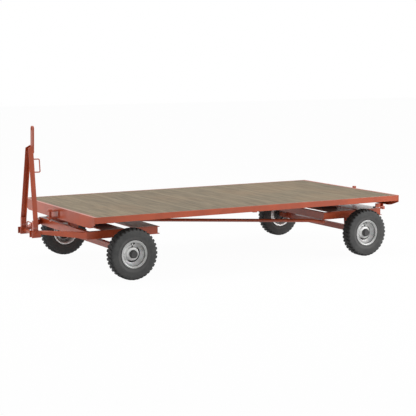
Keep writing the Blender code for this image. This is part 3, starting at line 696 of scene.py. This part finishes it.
def addTurntable(end, shape):
    low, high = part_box("ring_lower_" + end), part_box("ring_upper_" + end)
    base, top = low[0].z, high[1].z
    centre = np.append(middleOf("ring_lower_" + end)[:2], 0.0)
    flange, gapWidth = shape["flange"], shape["gap"]
    lower = [(base, shape["inner"]), (top - flange - gapWidth, shape["inner"]),
             (top - flange - gapWidth, shape["wall"]), (base + flange, shape["wall"]),
             (base + flange, shape["outer"]), (base, shape["outer"])]
    edge = base + flange + shape["edgeGap"]
    upper = [(top, shape["inner"]), (top - flange, shape["inner"]),
             (top - flange, shape["wall"] + gapWidth), (edge, shape["wall"] + gapWidth),
             (edge, shape["outer"]), (top, shape["outer"])]
    for name, section, body in (("lower", lower, end + "_bogie"), ("upper", upper, "chassis")):
        ring = turnedChunk(eased(section, shape["easing"], 2, True), centre, (0, 0, 1),
                           shape["sides"], True)
        addPiece(f"slewRing{name.title()}_{end}", [ring], "dark_steel", body,
                 [f"ring_{name}_{end}"])
    bolts, start = shape["bolts"], np.pi / shape["bolts"]
    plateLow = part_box("bogie_frame_" + end)[1].z - shape["plateThick"]
    below = circlePlaces(centre + (0, 0, plateLow), shape["boltCircle"], bolts, start)
    below = below[np.abs(below[:, 0] - centre[0] - shape["plateMiddle"]) < shape["plateHalf"]]
    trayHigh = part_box("bolster_" + end)[0].z + shape["trayThick"]
    above = circlePlaces(centre + (0, 0, trayHigh), shape["boltCircle"], bolts, start)
    addPiece("ringBoltsBelow_" + end, boltChunks(below, (0, 0, -1)), "zinc", end + "_bogie")
    addPiece("ringBoltsAbove_" + end, boltChunks(above, (0, 0, 1)), "zinc", "chassis")


for end in ("front", "rear"):
    addTurntable(end, ringShape)
print("turntables: 2, with bolts")


# Towing pins: a round shank, a head with softened edges over the jaw, and a ring clip below
pinShape = {
    "shank": 0.0110, "head": 0.0180, "headGap": 0.0005, "easing": 0.0030,
    "clip": {"radius": 0.0155, "wire": 0.0013, "height": 0.0065},
}


def addTowPin(end, shape):
    low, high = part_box("jaw_pin_" + end)
    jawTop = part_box("jaw_" + end)[1].z + shape["headGap"]
    centre = np.append(middleOf("jaw_pin_" + end)[:2], 0.0)
    profile = eased([(low.z, 0.0), (low.z, shape["shank"]), (jawTop, shape["shank"]),
                     (jawTop, shape["head"]), (high.z, shape["head"]), (high.z, 0.0)],
                    shape["easing"], 3)
    addPiece("towPin_" + end, [turnedChunk(profile, centre, (0, 0, 1), 32)], "paint", "chassis",
             ["jaw_pin_" + end])
    clip = shape["clip"]
    angle = np.linspace(0, 2 * np.pi, 20, endpoint=False)
    path = np.array((centre[0], 0.0, low.z + clip["height"])) + clip["radius"] * np.stack(
        (0 * angle, np.cos(angle), np.sin(angle)), -1)
    addPiece("pinClip_" + end, [tubeChunk(path, clip["wire"], (1, 0, 0), 8, True)],
             "zinc", "chassis")


for end in ("front", "rear"):
    addTowPin(end, pinShape)
print("towing pins: 2, with clips")


# Drawbar: its handle, latch loop and hinge tube as smooth rods, in the hinge's own frame
drawbarShape = {
    "lean": math.radians(1.1),
    "handle": {"back": -0.0203, "reach": 0.052, "top": 0.600, "bottom": 0.495, "bend": 0.011,
               "radius": 0.005},
    "latch": {"base": 0.0148, "top": 0.080, "half": 0.048, "bend": 0.016, "radius": 0.0045},
    "foot": 0.131, "footSlope": -0.1794, "slopeStart": 0.085,    # see legAside
    "tube": 0.0145, "tubeInset": 0.0315, "pin": 0.0100, "easing": 0.0015,
    "washer": {"aside": 0.0312, "radius": 0.0165, "thick": 0.0022},
    "splitPin": {"aside": 0.0055, "wire": 0.0012,
                 "path": [(0.002, 0, 0.0135), (0, 0, -0.0125), (0.003, 0, -0.0185)],
                 "loop": (0.001, 0, 0.0145), "loopRadius": 0.0022, "loopWire": 0.0010},
}
hingeCentre = middleOf("drawbar_hinge_tube") * (1, 0, 1)


def onDrawbar(points, shape=drawbarShape):
    # Turned by the drawbar's lean about the hinge axis, then moved to the hinge
    x, y, z = np.asarray(points, float).T
    c, s = math.cos(shape["lean"]), math.sin(shape["lean"])
    return np.stack((x * c - z * s, y, x * s + z * c), -1) + hingeCentre


def legAside(height, shape=drawbarShape):
    # How far aside a leg's middle stands: at the foot, then inwards with the height
    return shape["foot"] + shape["footSlope"] * (height - shape["slopeStart"])


def addDrawbarRods(shape):
    handle, latch = shape["handle"], shape["latch"]
    back, out = handle["back"], handle["back"] - handle["reach"]
    corners = [(x, legAside(z), z) for x, z in (
        (back, handle["top"]), (out, handle["top"]),
        (out, handle["bottom"]), (back, handle["bottom"]))]
    path = onDrawbar(eased(corners, handle["bend"], 8))
    addPiece("handleRod", [tubeChunk(path, handle["radius"], (0, 1, -shape["footSlope"]))],
             "paint", "drawbar", ["drawbar_handle"])
    half, flat = latch["half"], onDrawbar([(1, 0, 0)])[0] - onDrawbar([(0, 0, 0)])[0]
    corners = [(0, -half, latch["base"]), (0, -half, latch["top"]), (0, half, latch["top"]),
               (0, half, latch["base"])]
    path = onDrawbar(eased(corners, latch["bend"], 8))
    addPiece("latchLoop", [tubeChunk(path, latch["radius"], flat)], "paint", "drawbar",
             ["drawbar_latch"])
    inner, end = shape["foot"] - shape["tubeInset"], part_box("drawbar_hinge_tube")[1].y
    profile = eased([(-end, 0.0), (-end, shape["pin"]), (-inner, shape["pin"]),
                     (-inner, shape["tube"]), (inner, shape["tube"]), (inner, shape["pin"]),
                     (end, shape["pin"]), (end, 0.0)], shape["easing"], 2)
    addPiece("hingeTube", [turnedChunk(profile, hingeCentre, (0, 1, 0), 36)], "paint", "drawbar",
             ["drawbar_hinge_tube"])


def addHingeWashers(shape):
    # Outside each cheek: a washer, and a split pin with its loop through the end of the pin
    washer, pin = shape["washer"], shape["splitPin"]
    ring = [(0.0, shape["pin"]), (0.0, washer["radius"]), (washer["thick"], washer["radius"]),
            (washer["thick"], shape["pin"])]
    outside = shape["foot"] + washer["aside"]
    angle = np.linspace(0, 2 * np.pi, 16, endpoint=False)
    loop = pin["loopRadius"] * np.stack((np.cos(angle), 0 * angle, np.sin(angle)), -1)
    chunks = []
    for side in (1, -1):
        start = hingeCentre + (0, side * outside, 0)
        chunks.append(turnedChunk(ring, start, (0, side, 0), 24, True))
        spot = hingeCentre + (0, side * (outside + pin["aside"]), 0)
        chunks.append(tubeChunk(spot + np.array(pin["path"]), pin["wire"], (0, 1, 0), 8))
        chunks.append(tubeChunk(spot + loop + pin["loop"], pin["loopWire"], (0, 1, 0), 6, True))
    addPiece("hingeWashers", chunks, "paint", "drawbar")


addDrawbarRods(drawbarShape)
addHingeWashers(drawbarShape)
print("drawbar: 3 rods, with washers and split pins")


# Steering rod: a tube cranked near each eye, with the eyes on their studs
rodShape = {
    "ahead": 0.300, "aside": 0.490, "low": 0.299,
    "stations": [(0.004, 0.299), (0.038, 0.299), (0.102, 0.309), (-0.162, 0.3165),
                 (-0.078, 0.299), (-0.004, 0.299)],   # along (from either end) and height
    "radius": 0.0145, "bend": 0.022,
    "eye": [(-0.007, 0.0085), (-0.007, 0.0220), (0.007, 0.0220), (0.007, 0.0085)],
    "nut": [(0.0, 0.0), (0.0, 0.0115), (0.007, 0.0115), (0.0085, 0.0095), (0.0085, 0.0)],
    "nutDrop": 0.0075,
}


def addSteeringRod(shape):
    rear, front = middleOf("axle_rear")[0], middleOf("axle_front")[0]
    start = np.array((rear + shape["ahead"], shape["aside"], 0.0))
    end = np.array((front - shape["ahead"], -shape["aside"], 0.0))
    length = np.linalg.norm(end - start)
    way = (end - start) / length
    path = np.array([start + way * (along if along > 0 else length + along) + (0, 0, height)
                     for along, height in shape["stations"]])
    flat = np.cross(way, (0, 0, 1))
    chunks = [tubeChunk(eased(path, shape["bend"], 6), shape["radius"], flat, 24)]
    chunks += [turnedChunk(shape["eye"], spot + (0, 0, shape["low"]), (0, 0, 1), 32, True)
               for spot in (start, end)]
    addPiece("steeringTube", chunks, "paint", "steering_rod", ["steering_rod"])
    under = start + (0, 0, shape["low"] - shape["nutDrop"])
    nut = turnedChunk(shape["nut"], under, (0, 0, -1), 6)
    addPiece("rodNut_rear", [nut], "paint", "rear_bogie")


addSteeringRod(rodShape)
print("steering rod: 1")


# Welds: beads whose thickness ripples along a seam between two painted plates
weldShape = {"radius": 0.0028, "ripple": 0.0042, "depth": 0.22, "sides": 6}
weldPlaces = {
    "jaw": {"thick": 0.008, "inset": 0.010, "half": 0.030},
    "endWeb": {"depth": 0.006,       # how far aside, then the lowest and the highest point
               "beads": ((0.744, 0.484, 0.520), (0.325, 0.438, 0.478))},
    "bolster": {"aside": (0.275, 0.325), "half": 0.012},
    "stand": {"aside": (0.446, 0.510), "ahead": 0.0225, "heights": (0.196, 0.241)},
    "frame": {"aside": 0.478, "ahead": 0.040, "half": 0.030, "sink": 0.0008},
    "plate": {"depth": 0.006, "aside": (0.432, 0.474),      # over the frame's flanges
              "edges": {"front": (-0.020, 0.160), "rear": (-0.020, 0.225)}},
    "armRoot": {"aside": (0.470, 0.512), "heights": (0.3262, 0.3778),
                "inner": 0.469, "innerHeights": (0.328, 0.376)},
    "eyePlate": {"ahead": -0.0203, "inset": 0.004, "heights": (0.649, 0.706)},
    "shoe": {"ahead": 0.0205, "height": 0.1052, "legHeight": 0.1055, "half": 0.013},
    "eyeFoot": {"ahead": -0.0205, "height": 0.6465, "half": 0.022},
}


def beadChunk(start, end, shape=weldShape):
    # Point = start + share * run + radius * (1 - depth * |sin|) * circle, the sine along the run
    start, end = np.asarray(start, float), np.asarray(end, float)
    run = end - start
    length = np.linalg.norm(run)
    count = max(6, int(length / shape["ripple"] * 3))
    share = np.linspace(0, 1, count)
    ripple = np.abs(np.sin(share * length / shape["ripple"] * np.pi))
    taper = np.minimum(1, np.minimum(share, 1 - share) * length / shape["radius"])
    radius = shape["radius"] * (1 - shape["depth"] * ripple) * (0.45 + 0.55 * taper)
    flat = np.cross(run, np.eye(3)[np.argmin(np.abs(run))])
    return tubeChunk(start + share[:, None] * run, radius, flat, shape["sides"])


def mirrored(*distances):
    # The distances to the left, then the same to the right
    return distances + tuple(-distance for distance in distances)


def bedBeads(end, side, places):
    # Round the jaw's root and its plate, in the end member's web and on the bolster
    low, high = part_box("jaw_" + end)
    face = low.x if side > 0 else high.x
    beads = [((face, y, low.z), (face, y, high.z)) for y in (low.y, high.y)]
    beads += [((face, low.y, z), (face, high.y, z)) for z in (low.z, high.z)]
    jaw = places["jaw"]
    plate = face + side * jaw["thick"]
    beads += [((plate, -jaw["half"], z), (plate, jaw["half"], z))
              for z in (low.z + jaw["inset"], high.z - jaw["inset"])]
    web = places["endWeb"]
    low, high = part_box("end_member_" + end)
    x = high.x - web["depth"] if side > 0 else low.x + web["depth"]
    beads += [((x, y, start), (x, y, stop))
              for aside, start, stop in web["beads"] for y in mirrored(aside)]
    low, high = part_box("bolster_" + end)
    half = places["bolster"]["half"]
    return beads + [((x, y - half, high.z), (x, y + half, high.z))
                    for x in (low.x, high.x) for y in mirrored(*places["bolster"]["aside"])]


def bogieBeads(end, places):
    # On the axle's stands, between the stands and the frame, and at the plates' edges
    low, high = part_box("bogie_frame_" + end)
    middle = middleOf("axle_" + end)[0]
    stand, frameSeam, plate = places["stand"], places["frame"], places["plate"]
    bottom, top = stand["heights"]
    beads = [((x, y, bottom), (x, y, top)) for y in mirrored(*stand["aside"])
             for x in (middle - stand["ahead"], middle + stand["ahead"])]
    half, z = frameSeam["half"], low.z - frameSeam["sink"]
    beads += [((x, y - half, z), (x, y + half, z)) for y in mirrored(frameSeam["aside"])
              for x in (middle - frameSeam["ahead"], middle + frameSeam["ahead"])]
    seam = high.z - plate["depth"]
    inner, outer = plate["aside"]
    return beads + [((middle + x, hand * inner, seam), (middle + x, hand * outer, seam))
                    for x in plate["edges"][end] for hand in (1, -1)]


def armBeads(name, side, place):
    # Where a draw arm meets the front bogie's frame
    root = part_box("draw_arm_" + name)[0].x
    inner, outer = place["aside"]
    bottom, top = place["innerHeights"]
    beads = [((root, side * inner, z), (root, side * outer, z)) for z in place["heights"]]
    aside = side * place["inner"]
    return beads + [((root, aside, bottom), (root, aside, top))]


def drawbarBeads(places):
    # Along the eye plate's sides, over both faces of each shoe, and under the eye plate
    plate, shoe, foot = places["eyePlate"], places["shoe"], places["eyeFoot"]
    beads = []
    for side in (1, -1):
        beads.append([(plate["ahead"], side * (legAside(z) + plate["inset"]), z)
                      for z in plate["heights"]])
        beads += [[(x, side * (legAside(shoe["legHeight"]) + across), shoe["height"])
                   for across in (-shoe["half"], shoe["half"])] for x in mirrored(shoe["ahead"])]
    beads.append([(foot["ahead"], y, foot["height"]) for y in (-foot["half"], foot["half"])])
    return [onDrawbar(bead) for bead in beads]


def addWelds(places):
    front = bogieBeads("front", places)
    for name, side in (("left", 1), ("right", -1)):
        front += armBeads(name, side, places["armRoot"])
    total = 0
    for piece, body, beads in (
            ("weldsBed", "chassis", bedBeads("front", 1, places) + bedBeads("rear", -1, places)),
            ("welds_front_bogie", "front_bogie", front),
            ("welds_rear_bogie", "rear_bogie", bogieBeads("rear", places)),
            ("weldsDrawbar", "drawbar", drawbarBeads(places))):
        addPiece(piece, [beadChunk(*bead) for bead in beads], "paint", body, sharpAngle=60)
        total += len(beads)
    print("welds:", total, "beads")


addWelds(weldPlaces)


# Board screws: small countersunk heads over the rails and the main beams, with a dimple each
screwShape = {
    "head": [(-0.0006, 0.0), (-0.0006, 0.0042), (0.0002, 0.0042), (0.0002, 0.0022),
             (-0.0004, 0.0018), (-0.0004, 0.0)],
    "rows": (0.728, 0.300, -0.300, -0.728),
    "fromSeam": 0.045,
}


def addBoardScrews(shape):
    places = []
    for board in sorted(name for name in nodes if name.startswith("deck_board_")):
        low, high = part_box(board)
        inset = min(shape["fromSeam"], (high.x - low.x) / 3)
        places += [(x, y, high.z) for y in shape["rows"] for x in (low.x + inset, high.x - inset)]
    screw = turnedChunk(shape["head"], (0, 0, 0), (0, 0, 1), 10)
    addPiece("boardScrews", [repeated(screw, places)], "dark_steel", "chassis")
    print("board screws:", len(places))


addBoardScrews(screwShape)


# Rolled and sawn edges: bevels on the painted and wooden CAD nodes that stay
edgeShape = {
    "paint": {"width": 0.0012, "segments": 2},
    "timber": {"width": 0.0015, "segments": 2},
}
sharpEdge = math.radians(40)
cornerMerge = 0.00002


def roundEdges():
    rounded = 0
    for row in frame["record"]["subparts"]:
        node, shape = nodes[row["node"]], edgeShape.get(row["material_slot"])
        if shape is None or node.hide_render:
            continue
        weld = node.modifiers.new("mergeCorners", "WELD")
        weld.merge_threshold = cornerMerge
        bevel = node.modifiers.new("softEdges", "BEVEL")
        bevel.limit_method, bevel.angle_limit = "ANGLE", sharpEdge
        bevel.width, bevel.segments = shape["width"], shape["segments"]
        bevel.use_clamp_overlap = True
        rounded += 1
    print("rounded edges on", rounded, "nodes")


roundEdges()


# Studio: a pale floor that keeps a faint shadow, a soft sky, and broad lamps above, in front
# and behind
whiteRays = ("Camera", "Glossy", "Transmission")     # these see the floor and the sky white
studio = {
    "floorSize": 60.0,
    "floorSeen": colour(250, 250, 250),
    "floorBounce": colour(228, 228, 228),
    "floorGlow": 0.97,
    "sky": 0.41,
    "lamps": {
        "topLamp": {"place": (0.8, -0.8, 6.0), "size": 5.0, "power": 150.0},
        "frontLamp": {"place": (6.0, -1.2, 2.4), "size": 2.5, "power": 70.0},
        "rearLamp": {"place": (-5.2, 5.0, 2.6), "size": 3.0, "power": 270.0},
    },
}


def makeFloor(setup):
    half = setup["floorSize"] / 2
    mesh = bpy.data.meshes.new("studioFloor")
    mesh.from_pydata([(-half, -half, cadLow.z), (half, -half, cadLow.z),
                      (half, half, cadLow.z), (-half, half, cadLow.z)], [], [(0, 1, 2, 3)])
    floor = bpy.data.objects.new("studioFloor", mesh)
    bpy.context.scene.collection.objects.link(floor)
    floor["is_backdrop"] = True
    finish = Finish("paleFloor", Roughness=0.9)
    path = finish.tree.nodes.new("ShaderNodeLightPath").outputs
    seen = sum(Wire(finish, path[f"Is {kind} Ray"]) for kind in whiteRays)
    finish.feed("Base Color", finish.blend(seen, setup["floorBounce"], setup["floorSeen"]))
    glow = finish.node("ShaderNodeEmission", {}, {"Color": (1, 1, 1, 1), "Strength": 1.0})
    both = finish.node("ShaderNodeMixShader", {}, {
        0: seen.maths("MINIMUM", seen, 1.0) * setup["floorGlow"],
        1: Wire(finish, finish.shader.outputs[0]), 2: glow})
    finish.tree.links.new(both.socket, finish.tree.nodes["Material Output"].inputs[0])
    mesh.materials.append(finish.material)


def makeSky(setup):
    world = bpy.data.worlds.new("studioSky")
    bpy.context.scene.world = world
    world.use_nodes = True
    tree = world.node_tree
    path = tree.nodes.new("ShaderNodeLightPath").outputs
    seen = path[f"Is {whiteRays[0]} Ray"]
    for kind in whiteRays[1:]:
        either = tree.nodes.new("ShaderNodeMath")
        either.operation = "MAXIMUM"
        tree.links.new(seen, either.inputs[0])
        tree.links.new(path[f"Is {kind} Ray"], either.inputs[1])
        seen = either.outputs[0]
    strength = tree.nodes.new("ShaderNodeMapRange")
    tree.links.new(seen, strength.inputs[0])
    strength.inputs[3].default_value = setup["sky"]
    strength.inputs[4].default_value = 1.0
    background = tree.nodes["Background"]
    background.inputs["Color"].default_value = (1, 1, 1, 1)
    tree.links.new(strength.outputs[0], background.inputs["Strength"])


def makeLamps(lamps):
    for name, facts in lamps.items():
        data = bpy.data.lights.new(name, "AREA")
        data.shape, data.size, data.energy = "DISK", facts["size"], facts["power"]
        lamp = bpy.data.objects.new(name, data)
        bpy.context.scene.collection.objects.link(lamp)
        lamp.location = facts["place"]
        lamp.rotation_mode = "QUATERNION"
        lamp.rotation_quaternion = (-Vector(facts["place"])).to_track_quat("-Z", "Y")


makeFloor(studio)
makeSky(studio)
makeLamps(studio["lamps"])
bpy.context.scene.view_settings.view_transform = "Standard"
print("studio ready")

low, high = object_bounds()
